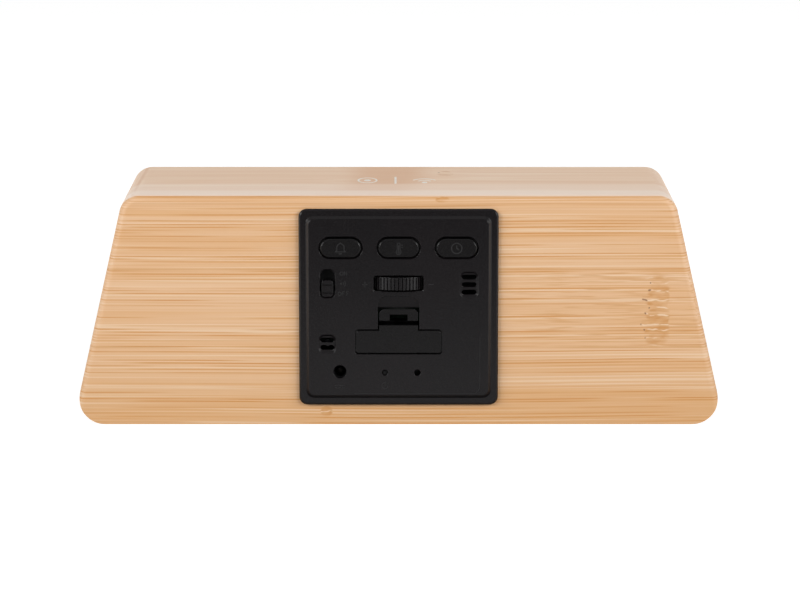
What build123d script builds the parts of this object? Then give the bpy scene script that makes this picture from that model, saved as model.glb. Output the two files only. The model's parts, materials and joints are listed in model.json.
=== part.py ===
"""Desk clock in a bamboo block: case, display, back cover, keys, wheel, battery bay and boards.

Millimetres, +Z up. The origin is the centre of the base, the display faces -Y and the cover faces +Y.
On the cover, x runs to the right as seen from behind, y runs up the slope and z points out of the wood.
"""
import os
from math import cos, radians, sin, tan
from build123d import *

# Bamboo block
BASE_WIDTH = 204.0  # across the base before its corners are rounded
HEIGHT = 69.3
TOP_DEPTH = 36.0
LEAN = 13.5  # degrees that each of the four sides leans in
BASE_CORNER_R = 8.0
TOP_CORNER_R = 6.5
EDGE_R = 2.4  # top and upright edges, the base edges stay sharp
VENEER_T = 0.8
CAVITY_MARGIN = 3.0  # wood that the cover's flange lies on, each side
CAVITY_DEPTH = 15.5
CAVITY_CORNER_R = 3.0

# Back cover
COVER_WIDTH = 61.8
COVER_HEIGHT = 61.0
COVER_RISE = 6.4  # wood left below the cover, along the slope
COVER_CORNER_R = 2.5
COVER_EDGE = 0.5
FLANGE_T = 1.4
TAPE_T = 0.2
TAPE_INSET = 0.5
PANEL_MARGIN = 2.2  # flange showing round the raised panel
PANEL_RISE = 0.9
PANEL_BEVEL = 45.0  # degrees
PANEL_CORNER_R = 2.6
WALL = 2.0
SKIRT_DEPTH = 3.0
SKIRT_WALL = 1.2
SKIRT_GAP = 0.3
RIM_CHAMFER = 0.3
RIM_BEVEL = 45.0  # degrees

# Push buttons
BUTTON_WIDTH = 12.5
BUTTON_HEIGHT = 5.8
BUTTON_PITCH = 17.9
BUTTON_Y = 18.55
BUTTON_GAP = 0.35
BUTTON_SAG = 0.15  # the buttons sit this much low in their holes
BUTTON_PROUD = 0.6
BUTTON_EDGE = 0.3
BUTTON_LIP = 1.0
BUTTON_LIP_T = 0.8
BUTTON_STEM = 2.6
BUTTON_TRAVEL = 0.4

# Key switches on the board
KEY_SIZE = 6.0
KEY_HEIGHT = 3.5
PLUNGER_SIZE = 2.8
PLUNGER_PROUD = 1.3
PLUNGER_SUNK = 1.0
RESET_X = -4.25
RESET_Y = -20.3
RESET_HOLE_R = 0.9
RESET_PIN_R = 0.6
RESET_BELOW = 0.2  # tip of the pin below the panel

# Slide switch
SLIDE_X = -22.0
SLIDE_Y = 7.45
SLIDE_SLOT_WIDTH = 4.4
SLIDE_SLOT_HEIGHT = 8.5
SLIDE_SLOT_R = 1.8
KNOB_WIDTH = 3.6
KNOB_HEIGHT = 5.1
KNOB_CORNER_R = 1.1
KNOB_END_GAP = 0.2
KNOB_PROUD = 0.4
KNOB_GROOVE = 0.6
KNOB_GROOVE_PITCH = 2.4
SHROUD_WIDTH = 7.4
SHROUD_LAP = 0.2
SHROUD_T = 0.7
LEVER_SIZE = 1.5
LEVER_SOCKET_DEPTH = 1.6
LEVER_SUNK = 2.5
SLIDE_BOX_WIDTH = 4.4
SLIDE_BOX_LENGTH = 9.6
SLIDE_BOX_HEIGHT = 4.0
SOCKET_SIZE = 3.4

# Adjusting wheel
WHEEL_Y = 7.45
WHEEL_R = 9.0
WHEEL_T = 3.9
WHEEL_PROUD = 1.8
WHEEL_RIBS = 48
RIB_GAP = 0.4
RIB_DEPTH = 0.45
WHEEL_SLOT_WIDTH = 15.2
WHEEL_SLOT_HEIGHT = 4.5
WHEEL_SLOT_R = 0.6
AXLE_R = 1.0
EAR_WIDTH = 5.0
EAR_T = 1.5
EAR_GAP = 0.35
ENCODER_WIDTH = 7.0
ENCODER_T = 3.2

# Battery door and its latch
DOOR_Y = -14.1  # lower edge of the door
DOOR_WIDTH = 26.1
DOOR_HEIGHT = 6.9
DOOR_T = 1.4
DOOR_CORNER_R = 0.9
DOOR_GAP = 0.45
NECK_WIDTH = 12.0
NECK_RISE = 1.7
LATCH_GAP = 1.4
LATCH_HEIGHT = 3.6
LATCH_T = 1.0
LATCH_DEPTH = 4.6
LATCH_BELOW = 0.3  # thumb plate below the panel
LATCH_CHAMFER = 1.1
NOTCH_WIDTH = 5.6
NOTCH_HEIGHT = 1.9
NOTCH_DEPTH = 7.5
LEDGE = 1.0
HINGE_TAB_WIDTH = 4.0
HINGE_TAB_X = 7.5
HINGE_TAB_T = 0.9
HINGE_TAB_REACH = 1.0
SCOOP_HEIGHT = 3.6
SCOOP_START = 0.3  # depth of the scoop at its upper edge
SCOOP_DEPTH = 0.9  # further depth that it gains on the way down
SCOOP_CORNER_R = 2.8

# Coin cell and its holder
CELL_R = 10.0
CELL_T = 3.2
HOLDER_WALL = 1.1
HOLDER_MOUTH = 1.9  # mouth of the holder below the cover's inner face
CELL_BELOW = 0.6  # cell below the mouth
CONTACT_T = 0.25
CONTACT_WIDTH = 4.0
CONTACT_LENGTH = 14.0
HOLDER_LIP = 1.6
HOLDER_LIP_T = 1.0

# Vents and small holes
SOUND_VENT_X = 21.8
SOUND_VENT_Y = 7.1
SOUND_VENT_WIDTH = 5.7
SOUND_VENT_HEIGHT = 8.2
SOUND_SLOTS = 3
AIR_VENT_X = -22.1
AIR_VENT_Y = -11.3
AIR_VENT_WIDTH = 5.45
AIR_VENT_HEIGHT = 5.8
AIR_SLOTS = 2
VENT_DEPTH = 0.6
VENT_CORNER_R = 1.8
VENT_SLOT_MARGIN = 0.6
VENT_SLOT_HEIGHT = 1.5
VENT_SLOT_PITCH = 2.33
JACK_X = -18.2
JACK_Y = -20.0
JACK_HOLE_R = 2.05
MIC_X = 5.8
MIC_Y = -20.3
MIC_HOLE_R = 1.0

# Boards and what they carry
BOARD_GAP = 8.5  # from the cover's inner face to the main board
BOARD_T = 1.6
BOARD_EDGE_GAP = 1.0
BOARD_HOLE_GAP = 0.6
BOSS_INSET = 6.0
BOSS_SIZE = 3.8
SCREW_R = 0.95
SCREW_HEAD_R = 1.9
SCREW_HEAD_SIDES = 6
SCREW_HEAD_T = 1.2
SCREW_GRIP = 5.0
JACK_SIZE = 6.4
JACK_BORE_R = 1.8
JACK_BORE_DEPTH = 7.0
JACK_PIN_R = 0.65
JACK_PIN_BELOW = 2.5
SOUNDER_R = 4.4
SOUNDER_HEIGHT = 4.5
SOUNDER_HOLE_R = 0.8
SENSOR_R = 1.0
SENSOR_LENGTH = 2.4
SENSOR_LEAD = 0.5
SENSOR_LEAD_PITCH = 0.8
SENSOR_BELOW = 1.2
MIC_R = 3.0
MIC_HEIGHT = 2.6
BOOT_WALL = 0.8
BOOT_SIDES = 8
CHIP_SIZE = 9.0
CHIP_T = 1.4
CHIP_X = 17.0
CHIP_Y = -16.0
CRYSTAL_LENGTH = 10.5
CRYSTAL_WIDTH = 4.6
CRYSTAL_HEIGHT = 3.5
CRYSTAL_X = -17.0
CRYSTAL_Y = -3.0
FOIL_WIDTH = 36.0
FOIL_LENGTH = 9.0
FOIL_T = 0.2
SPRING_T = 0.3
SPRING_WIDTH = 3.0
SPRING_FOOT = 4.0
SPRING_X = 12.0

# Display
DISPLAY_RISE = 36.0  # centre of the display, along the slope
DISPLAY_WIDTH = 108.0
DISPLAY_HEIGHT = 36.0
FRAME_T = 6.0
DIFFUSER_T = 0.3
DIGIT_WIDTH = 14.0
DIGIT_HEIGHT = 25.0
SEGMENT_T = 2.8
SEGMENT_GAP = 0.5
DIGIT_PITCH = 22.0
MIDDLE_PITCH = 30.0  # between the hour and minute digits
COLON_R = 1.6
COLON_RISE = 5.0
LAMP_LENGTH = 2.0
LAMP_WIDTH = 1.2
LAMP_T = 0.7
PLUG_WIDTH = 12.0
PLUG_HEIGHT = 4.4
PLUG_T = 3.0
PLUG_RISE = 51.0
RIBBON_WIDTH = 10.0
RIBBON_T = 0.4
RIBBON_BEND_R = 6.0
PASSAGE_WIDTH = 15.0
PASSAGE_HEIGHT = 10.5

# Clearances shared by the fits
FIT = 0.05
POCKET_GAP = 0.3

# Faces of the block
lean = radians(LEAN)
half_base_depth = TOP_DEPTH / 2 + HEIGHT * tan(lean)
half_top_width = BASE_WIDTH / 2 - HEIGHT * tan(lean)


def face_plane(side, rise):
    """Plane on the back (side 1) or the front (side -1), at a distance up the slope."""
    origin = (0, side * (half_base_depth - rise * sin(lean)), rise * cos(lean))
    return Plane(origin, x_dir=(-side, 0, 0), z_dir=(0, side * cos(lean), sin(lean)))


def upright(plane):
    """Plane across another one: its x runs up the slope and its y points out of the wood."""
    return Plane(plane.origin, x_dir=plane.y_dir, z_dir=plane.x_dir)


def cross_plane(y, z):
    """Plane square to the slope, centred at a height on the cover and a level out of the wood."""
    return Plane(back.from_local_coords(Vector(0, y, z)), x_dir=back.x_dir, z_dir=back.y_dir)


cover_rise = COVER_RISE + COVER_HEIGHT / 2
back = face_plane(1, cover_rise)
front = face_plane(-1, DISPLAY_RISE)
veneer_plane = front.offset(-VENEER_T)
outward = Axis(back.origin, back.z_dir)
up_slope = Axis(back.origin, back.y_dir)

# Levels out of the wood, on the back
flange_top = TAPE_T + FLANGE_T
panel_top = flange_top + PANEL_RISE
panel_under = panel_top - WALL
board_top = panel_under - BOARD_GAP
board_back = board_top - BOARD_T
wheel_z = panel_top + WHEEL_PROUD - WHEEL_R

# Outlines that several pieces share
panel_width = COVER_WIDTH - 2 * PANEL_MARGIN
panel_height = COVER_HEIGHT - 2 * PANEL_MARGIN
cavity_width = COVER_WIDTH - 2 * CAVITY_MARGIN
cavity_height = COVER_HEIGHT - 2 * CAVITY_MARGIN
board_width = cavity_width - 2 * BOARD_EDGE_GAP
board_height = cavity_height - 2 * BOARD_EDGE_GAP
boss_x = COVER_WIDTH / 2 - BOSS_INSET
boss_y = COVER_HEIGHT / 2 - BOSS_INSET
boss_spots = [(-boss_x, boss_y), (boss_x, -boss_y)]
button_holes = [(-BUTTON_PITCH, BUTTON_Y), (0, BUTTON_Y), (BUTTON_PITCH, BUTTON_Y)]
button_spots = [(x, y - BUTTON_SAG) for x, y in button_holes]
key_spots = button_spots + [(RESET_X, RESET_Y)]
lip_top = panel_under - FIT
lip_under = lip_top - BUTTON_LIP_T
key_top = board_top + KEY_HEIGHT
plunger_top = key_top + PLUNGER_PROUD
plunger_end = key_top - PLUNGER_SUNK
key_bore_depth = PLUNGER_SUNK + 2 * BUTTON_TRAVEL

door_under = panel_top - DOOR_T
bar_top = DOOR_Y + DOOR_HEIGHT
bar_y = DOOR_Y + DOOR_HEIGHT / 2
neck_top = bar_top + NECK_RISE
latch_y = neck_top + LATCH_GAP
latch_top = latch_y + LATCH_HEIGHT
opening_top = latch_top + DOOR_GAP
neck_opening = NECK_WIDTH + 2 * DOOR_GAP
holder_top = panel_under - HOLDER_MOUTH
cell_z = holder_top - CELL_BELOW - CELL_R
bay_width = 2 * (CELL_R + POCKET_GAP)
bay_height = CELL_T + 2 * (CONTACT_T + FIT)
holder_width = bay_width + 2 * HOLDER_WALL
holder_height = bay_height + 2 * HOLDER_WALL
holder_under = cell_z - CELL_R - POCKET_GAP - HOLDER_WALL

knob_travel = SLIDE_SLOT_HEIGHT - KNOB_HEIGHT - 2 * KNOB_END_GAP
knob_y = SLIDE_Y - knob_travel / 2
shroud_top = lip_under - BUTTON_TRAVEL - POCKET_GAP
shroud_under = shroud_top - SHROUD_T
shroud_height = SLIDE_SLOT_HEIGHT + knob_travel + 2 * SHROUD_LAP
slide_top = board_top + SLIDE_BOX_HEIGHT
lever_top = shroud_under - FIT

ear_y = WHEEL_T / 2 + EAR_GAP + EAR_T / 2
ear_under = wheel_z - EAR_WIDTH / 2
axle_low = WHEEL_Y - ear_y - EAR_T / 2 - EAR_GAP
encoder_low = WHEEL_Y + ear_y + EAR_T / 2 + EAR_GAP
axle_length = encoder_low + ENCODER_T - axle_low

diffuser_back = -VENEER_T - DIFFUSER_T
frame_back = diffuser_back - FRAME_T
lamp_board_back = frame_back - BOARD_T
digit_spots = [
    (-MIDDLE_PITCH / 2 - DIGIT_PITCH, 0),
    (-MIDDLE_PITCH / 2, 0),
    (MIDDLE_PITCH / 2, 0),
    (MIDDLE_PITCH / 2 + DIGIT_PITCH, 0),
]
colon_spots = [(0, -COLON_RISE), (0, COLON_RISE)]
arm_y = (DIGIT_HEIGHT - SEGMENT_T) / 2
arm_x = (DIGIT_WIDTH - SEGMENT_T) / 2
level_bars = [(0, arm_y), (0, 0), (0, -arm_y)]
upright_bars = [(x, y) for x in (-arm_x, arm_x) for y in (-arm_y / 2, arm_y / 2)]
level_length = 2 * arm_x - SEGMENT_GAP
upright_length = arm_y - SEGMENT_GAP
level_spots = [(x + dx, y + dy) for x, y in digit_spots for dx, dy in level_bars]
upright_spots = [(x + dx, y + dy) for x, y in digit_spots for dx, dy in upright_bars]


def bar_outline(length):
    """Six-sided segment with pointed ends, lying along x."""
    half = SEGMENT_T / 2
    tip = length / 2
    points = [(-tip, 0), (half - tip, half), (tip - half, half)]
    return points + [(tip, 0), (tip - half, -half), (half - tip, -half)]


# Rounded block, before the veneer is parted from it: its top and upright edges are rounded first,
# then its base corners are cut, so that the long base edges stay sharp
block_corners = [
    (-BASE_WIDTH / 2, 0),
    (BASE_WIDTH / 2, 0),
    (half_top_width, HEIGHT),
    (-half_top_width, HEIGHT),
]
with BuildPart() as block:
    with BuildSketch(Plane.XZ) as outline:
        Polygon(*block_corners, align=None)
        fillet(outline.vertices().group_by(Axis.Y)[-1], TOP_CORNER_R)
    extrude(amount=half_base_depth, both=True)
    split(bisect_by=face_plane(1, 0), keep=Keep.BOTTOM)
    split(bisect_by=face_plane(-1, 0), keep=Keep.BOTTOM)
    ends = block.faces().sort_by(Axis.Y)
    front_edges = ends[0].edges().sort_by(Axis.Z)[1:]
    back_edges = ends[-1].edges().sort_by(Axis.Z)[1:]
    fillet(front_edges + back_edges, EDGE_R)
    with BuildSketch(Plane.XZ) as base_outline:
        Polygon(*block_corners, align=None)
        fillet(base_outline.vertices().group_by(Axis.Y)[0], BASE_CORNER_R)
    extrude(amount=half_base_depth, both=True, mode=Mode.INTERSECT)

# Bamboo body with the cavity, the battery well, the display pocket and the ribbon passage
ribbon_back = face_plane(1, PLUG_RISE).offset(board_back - PLUG_T)
ribbon_front = face_plane(-1, PLUG_RISE).offset(lamp_board_back - PLUG_T)
passage_front = face_plane(-1, PLUG_RISE).offset(lamp_board_back).origin.Y
passage_back = face_plane(1, PLUG_RISE).offset(-CAVITY_DEPTH).origin.Y
sag = (ribbon_back.origin.Y - ribbon_front.origin.Y) / 2 * tan(lean)
passage_z = (ribbon_back.origin.Z + ribbon_front.origin.Z) / 2 - sag / 2
with BuildPart() as bamboo_body:
    add(block.part)
    split(bisect_by=veneer_plane, keep=Keep.BOTTOM)
    with BuildSketch(back):
        RectangleRounded(cavity_width, cavity_height, CAVITY_CORNER_R)
    extrude(amount=-CAVITY_DEPTH, mode=Mode.SUBTRACT)
    with BuildSketch(back):
        with Locations((0, bar_y)):
            RectangleRounded(
                holder_width + 2 * POCKET_GAP + CAVITY_CORNER_R,
                holder_height + 2 * POCKET_GAP + CAVITY_CORNER_R,
                CAVITY_CORNER_R,
            )
    extrude(amount=holder_under - POCKET_GAP, mode=Mode.SUBTRACT)
    with BuildSketch(front):
        Rectangle(DISPLAY_WIDTH + 2 * POCKET_GAP, DISPLAY_HEIGHT + 2 * POCKET_GAP)
    extrude(amount=lamp_board_back, mode=Mode.SUBTRACT)
    with Locations((0, (passage_front + passage_back) / 2, passage_z)):
        Box(PASSAGE_WIDTH, passage_back - passage_front + PLUG_T, PASSAGE_HEIGHT, mode=Mode.SUBTRACT)
bamboo_body.part.label = "bamboo_body"

# Veneer that the digits shine through
with BuildPart() as front_veneer:
    add(block.part)
    split(bisect_by=veneer_plane, keep=Keep.TOP)
front_veneer.part.label = "front_veneer"

# Diffuser film behind the veneer
with BuildPart() as display_diffuser:
    with BuildSketch(front.offset(diffuser_back)):
        Rectangle(DISPLAY_WIDTH, DISPLAY_HEIGHT)
    extrude(amount=DIFFUSER_T)
display_diffuser.part.label = "display_diffuser"

# Segment frame with a light well behind each segment
with BuildPart() as display_frame:
    with BuildSketch(front.offset(frame_back)):
        Rectangle(DISPLAY_WIDTH, DISPLAY_HEIGHT)
        with Locations(*level_spots):
            Polygon(*bar_outline(level_length), mode=Mode.SUBTRACT)
        with Locations(*upright_spots):
            Polygon(*bar_outline(upright_length), rotation=90, mode=Mode.SUBTRACT)
        with Locations(*colon_spots):
            Circle(COLON_R, mode=Mode.SUBTRACT)
    extrude(amount=FRAME_T)
display_frame.part.label = "display_frame"

# Lamp board behind the frame
with BuildPart() as display_board:
    with BuildSketch(front.offset(lamp_board_back)):
        Rectangle(DISPLAY_WIDTH, DISPLAY_HEIGHT)
    extrude(amount=BOARD_T)
display_board.part.label = "display_board"

# One lamp in each light well
with BuildPart() as display_lamps:
    with BuildSketch(front.offset(frame_back)):
        with Locations(*level_spots, *colon_spots):
            Rectangle(LAMP_LENGTH, LAMP_WIDTH)
        with Locations(*upright_spots):
            Rectangle(LAMP_WIDTH, LAMP_LENGTH)
    extrude(amount=LAMP_T)
display_lamps.part.label = "display_lamps"

# Connectors at the two ends of the ribbon
with BuildPart() as display_connector:
    with BuildSketch(face_plane(-1, PLUG_RISE).offset(lamp_board_back)):
        Rectangle(PLUG_WIDTH, PLUG_HEIGHT)
    extrude(amount=-PLUG_T)
display_connector.part.label = "display_connector"

with BuildPart() as board_connector:
    with BuildSketch(face_plane(1, PLUG_RISE).offset(board_back)):
        Rectangle(PLUG_WIDTH, PLUG_HEIGHT)
    extrude(amount=-PLUG_T)
board_connector.part.label = "board_connector"

# Flat ribbon from one connector to the other, sagging in the middle
run = (ribbon_back.origin.Y - ribbon_front.origin.Y) / 2 / cos(lean)
skew = (ribbon_back.origin.Z - ribbon_front.origin.Z) / 2 / sin(lean)
ribbon_low = ribbon_back.offset(-run - skew).origin
with BuildPart() as display_ribbon:
    with BuildSketch(Plane.YZ):
        with BuildLine():
            FilletPolyline(
                (ribbon_back.origin.Y, ribbon_back.origin.Z),
                (ribbon_low.Y, ribbon_low.Z),
                (ribbon_front.origin.Y, ribbon_front.origin.Z),
                radius=RIBBON_BEND_R,
            )
        trace(line_width=RIBBON_T)
    extrude(amount=RIBBON_WIDTH / 2, both=True)
display_ribbon.part.label = "display_ribbon"

# Back cover
scoop_plane = Plane(
    back.from_local_coords(Vector(0, opening_top + SCOOP_HEIGHT, panel_top - SCOOP_START)),
    x_dir=back.x_dir,
    z_dir=back.z_dir * SCOOP_HEIGHT - back.y_dir * SCOOP_DEPTH,
)
skirt_width = cavity_width - 2 * SKIRT_GAP
skirt_height = cavity_height - 2 * SKIRT_GAP
hole_size = (BUTTON_WIDTH + 2 * BUTTON_GAP, BUTTON_HEIGHT + 2 * BUTTON_GAP)
bevel = 2 * RIM_CHAMFER
vents = [
    (SOUND_VENT_X, SOUND_VENT_Y, SOUND_VENT_WIDTH, SOUND_VENT_HEIGHT, SOUND_SLOTS),
    (AIR_VENT_X, AIR_VENT_Y, AIR_VENT_WIDTH, AIR_VENT_HEIGHT, AIR_SLOTS),
]
with BuildPart() as back_cover:
    with BuildSketch(back.offset(TAPE_T)):
        RectangleRounded(COVER_WIDTH, COVER_HEIGHT, COVER_CORNER_R)
    extrude(amount=FLANGE_T)
    chamfer(back_cover.faces().sort_by(outward)[-1].edges(), COVER_EDGE)
    with BuildSketch(back.offset(flange_top)):
        RectangleRounded(panel_width, panel_height, PANEL_CORNER_R)
    extrude(amount=PANEL_RISE, taper=PANEL_BEVEL)
    # Hollow below the panel, and the skirt that enters the wood
    with BuildSketch(back.offset(TAPE_T)):
        RectangleRounded(skirt_width, skirt_height, CAVITY_CORNER_R)
    extrude(amount=-SKIRT_DEPTH)
    with BuildSketch(back.offset(panel_under)):
        Rectangle(skirt_width - 2 * SKIRT_WALL, skirt_height - 2 * SKIRT_WALL)
    extrude(amount=TAPE_T - SKIRT_DEPTH - panel_under, mode=Mode.SUBTRACT)
    # Bosses for the board, with the screw holes, and ears for the axle
    with BuildSketch(back.offset(panel_under)):
        with Locations(*boss_spots):
            Rectangle(BOSS_SIZE, BOSS_SIZE)
    extrude(amount=-BOARD_GAP)
    with BuildSketch(back.offset(board_top)):
        with Locations(*boss_spots):
            Circle(SCREW_R + FIT)
    extrude(amount=SCREW_GRIP + POCKET_GAP, mode=Mode.SUBTRACT)
    with BuildSketch(back.offset(panel_under)):
        with Locations((0, WHEEL_Y - ear_y), (0, WHEEL_Y + ear_y)):
            Rectangle(EAR_WIDTH, EAR_T)
    extrude(amount=ear_under - panel_under)
    with BuildSketch(cross_plane(axle_low, wheel_z)):
        Circle(AXLE_R + FIT)
    extrude(amount=axle_length, mode=Mode.SUBTRACT)
    # Button holes, slide slot and wheel opening, each with a bevelled rim
    with BuildSketch(back.offset(panel_top)):
        with Locations(*button_holes):
            SlotOverall(*hole_size)
        with Locations((SLIDE_X, SLIDE_Y)):
            RectangleRounded(SLIDE_SLOT_WIDTH, SLIDE_SLOT_HEIGHT, SLIDE_SLOT_R)
        with Locations((0, WHEEL_Y)):
            RectangleRounded(WHEEL_SLOT_WIDTH, WHEEL_SLOT_HEIGHT, WHEEL_SLOT_R)
    extrude(amount=-WALL, mode=Mode.SUBTRACT)
    with BuildSketch(back.offset(panel_top)):
        with Locations(*button_holes):
            SlotOverall(hole_size[0] + bevel, hole_size[1] + bevel)
        with Locations((SLIDE_X, SLIDE_Y)):
            RectangleRounded(SLIDE_SLOT_WIDTH + bevel, SLIDE_SLOT_HEIGHT + bevel, SLIDE_SLOT_R)
        with Locations((0, WHEEL_Y)):
            RectangleRounded(WHEEL_SLOT_WIDTH + bevel, WHEEL_SLOT_HEIGHT + bevel, WHEEL_SLOT_R)
    extrude(amount=-RIM_CHAMFER, taper=RIM_BEVEL, mode=Mode.SUBTRACT)
    # Door opening: the full outline down to its ledge, then the way through
    with BuildSketch(back.offset(panel_top)):
        with Locations((0, bar_y)):
            RectangleRounded(DOOR_WIDTH + 2 * DOOR_GAP, DOOR_HEIGHT + 2 * DOOR_GAP, DOOR_CORNER_R)
            Rectangle(neck_opening, opening_top - bar_y, align=(Align.CENTER, Align.MIN))
    extrude(amount=-DOOR_T - FIT, mode=Mode.SUBTRACT)
    with BuildSketch(back.offset(panel_top)):
        with Locations((0, bar_y)):
            Rectangle(DOOR_WIDTH - 2 * LEDGE, DOOR_HEIGHT - 2 * LEDGE)
            Rectangle(neck_opening, opening_top - bar_y, align=(Align.CENTER, Align.MIN))
        with Locations((-HINGE_TAB_X, DOOR_Y - DOOR_GAP), (HINGE_TAB_X, DOOR_Y - DOOR_GAP)):
            Rectangle(
                HINGE_TAB_WIDTH + 2 * POCKET_GAP,
                DOOR_HEIGHT / 2,
                align=(Align.CENTER, Align.MIN),
            )
    extrude(amount=-WALL, mode=Mode.SUBTRACT)
    # Sloping finger scoop above the latch
    with BuildSketch(scoop_plane) as scoop:
        Rectangle(neck_opening, SCOOP_HEIGHT + SCOOP_DEPTH, align=(Align.CENTER, Align.MAX))
        fillet(scoop.vertices().group_by(Axis.Y)[-1], SCOOP_CORNER_R)
    extrude(amount=WALL, mode=Mode.SUBTRACT)
    # Vents: a shallow dish with slots through it
    for x, y, width, height, count in vents:
        with BuildSketch(back.offset(panel_top)):
            with Locations((x, y)):
                RectangleRounded(width, height, VENT_CORNER_R)
        extrude(amount=-VENT_DEPTH, taper=RIM_BEVEL, mode=Mode.SUBTRACT)
        with BuildSketch(back.offset(panel_top)):
            with Locations((x, y)):
                with GridLocations(0, VENT_SLOT_PITCH, 1, count):
                    SlotOverall(width - 2 * VENT_SLOT_MARGIN, VENT_SLOT_HEIGHT)
        extrude(amount=-WALL, mode=Mode.SUBTRACT)
    # Round holes for the inlet, the reset pin and the microphone
    with BuildSketch(back.offset(panel_top)):
        with Locations((JACK_X, JACK_Y)):
            Circle(JACK_HOLE_R)
        with Locations((RESET_X, RESET_Y)):
            Circle(RESET_HOLE_R)
        with Locations((MIC_X, MIC_Y)):
            Circle(MIC_HOLE_R)
    extrude(amount=-WALL, mode=Mode.SUBTRACT)
back_cover.part.label = "back_cover"

# Tape between the flange and the wood
with BuildPart() as cover_tape:
    with BuildSketch(back) as tape_outline:
        Rectangle(COVER_WIDTH - 2 * TAPE_INSET, COVER_HEIGHT - 2 * TAPE_INSET)
        chamfer(tape_outline.vertices(), COVER_CORNER_R)
        Rectangle(
            cavity_width + 2 * TAPE_INSET,
            cavity_height + 2 * TAPE_INSET,
            mode=Mode.SUBTRACT,
        )
    extrude(amount=TAPE_T)
cover_tape.part.label = "cover_tape"

# Push buttons, each with a lip that holds it in the cover and a stem on its key switch
buttons = []
for button_name, spot in zip(("alarm", "temperature", "time"), button_spots):
    with BuildPart() as button:
        with BuildSketch(back.offset(lip_under)) as lip:
            with Locations(spot):
                Rectangle(BUTTON_WIDTH + 2 * BUTTON_LIP, BUTTON_HEIGHT + 2 * BUTTON_LIP)
            chamfer(lip.vertices(), BUTTON_HEIGHT / 3)
        extrude(amount=BUTTON_LIP_T)
        with BuildSketch(back.offset(lip_top)):
            with Locations(spot):
                SlotOverall(BUTTON_WIDTH, BUTTON_HEIGHT)
        extrude(amount=panel_top + BUTTON_PROUD - lip_top)
        chamfer(button.faces().sort_by(outward)[-1].edges(), BUTTON_EDGE)
        with BuildSketch(back.offset(plunger_top)):
            with Locations(spot):
                Rectangle(BUTTON_STEM, BUTTON_STEM)
        extrude(amount=lip_under - plunger_top)
    button.part.label = f"{button_name}_button"
    buttons.append(button)

# Plungers of the three key switches
plungers = []
for button_name, spot in zip(("alarm", "temperature", "time"), button_spots):
    with BuildPart() as plunger:
        with BuildSketch(back.offset(plunger_end)):
            with Locations(spot):
                Rectangle(PLUNGER_SIZE, PLUNGER_SIZE)
        extrude(amount=plunger_top - plunger_end)
    plunger.part.label = f"{button_name}_plunger"
    plungers.append(plunger)

# Reset pin, long enough to reach the cover
with BuildPart() as reset_pin:
    with BuildSketch(back.offset(plunger_end)):
        with Locations((RESET_X, RESET_Y)):
            Rectangle(PLUNGER_SIZE, PLUNGER_SIZE)
    extrude(amount=plunger_top - plunger_end)
    with BuildSketch(back.offset(plunger_top)):
        with Locations((RESET_X, RESET_Y)):
            Circle(RESET_PIN_R)
    extrude(amount=panel_top - RESET_BELOW - plunger_top)
reset_pin.part.label = "reset_pin"

# Key switch bodies on the board
with BuildPart() as key_switches:
    with BuildSketch(back.offset(board_top)):
        with Locations(*key_spots):
            Rectangle(KEY_SIZE, KEY_SIZE)
    extrude(amount=KEY_HEIGHT)
    with BuildSketch(back.offset(key_top)):
        with Locations(*key_spots):
            Rectangle(PLUNGER_SIZE + 2 * FIT, PLUNGER_SIZE + 2 * FIT)
    extrude(amount=-key_bore_depth, mode=Mode.SUBTRACT)
key_switches.part.label = "key_switches"

# Slide knob with its dust shroud and the socket for the lever
with BuildPart() as slide_knob:
    with BuildSketch(back.offset(shroud_under)):
        with Locations((SLIDE_X, knob_y)):
            Rectangle(SHROUD_WIDTH, shroud_height)
    extrude(amount=SHROUD_T)
    with BuildSketch(back.offset(shroud_top)):
        with Locations((SLIDE_X, knob_y)):
            RectangleRounded(KNOB_WIDTH, KNOB_HEIGHT, KNOB_CORNER_R)
    extrude(amount=panel_top + KNOB_PROUD - shroud_top)
    with BuildSketch(back.offset(panel_top + KNOB_PROUD)):
        with Locations((SLIDE_X, knob_y)):
            with GridLocations(0, KNOB_GROOVE_PITCH, 1, 2):
                Rectangle(KNOB_WIDTH, KNOB_GROOVE)
    extrude(amount=-KNOB_GROOVE, mode=Mode.SUBTRACT)
    with BuildSketch(back.offset(shroud_under)):
        with Locations((SLIDE_X, knob_y)):
            Rectangle(SOCKET_SIZE, SOCKET_SIZE)
            Rectangle(LEVER_SIZE + 2 * FIT, LEVER_SIZE + 2 * FIT, mode=Mode.SUBTRACT)
    extrude(amount=-LEVER_SOCKET_DEPTH)
slide_knob.part.label = "slide_knob"

# Lever of the slide switch, driven by the knob
with BuildPart() as slide_lever:
    with BuildSketch(back.offset(slide_top - LEVER_SUNK)):
        with Locations((SLIDE_X, knob_y)):
            Rectangle(LEVER_SIZE, LEVER_SIZE)
    extrude(amount=lever_top - slide_top + LEVER_SUNK)
slide_lever.part.label = "slide_lever"

# Slide switch body with the slot that its lever runs in
with BuildPart() as slide_body:
    with BuildSketch(back.offset(board_top)):
        with Locations((SLIDE_X, SLIDE_Y)):
            Rectangle(SLIDE_BOX_WIDTH, SLIDE_BOX_LENGTH)
    extrude(amount=SLIDE_BOX_HEIGHT)
    with BuildSketch(back.offset(slide_top)):
        with Locations((SLIDE_X, SLIDE_Y)):
            Rectangle(LEVER_SIZE + 2 * POCKET_GAP, LEVER_SIZE + knob_travel + 2 * POCKET_GAP)
    extrude(amount=-LEVER_SUNK - POCKET_GAP, mode=Mode.SUBTRACT)
slide_body.part.label = "slide_body"

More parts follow.
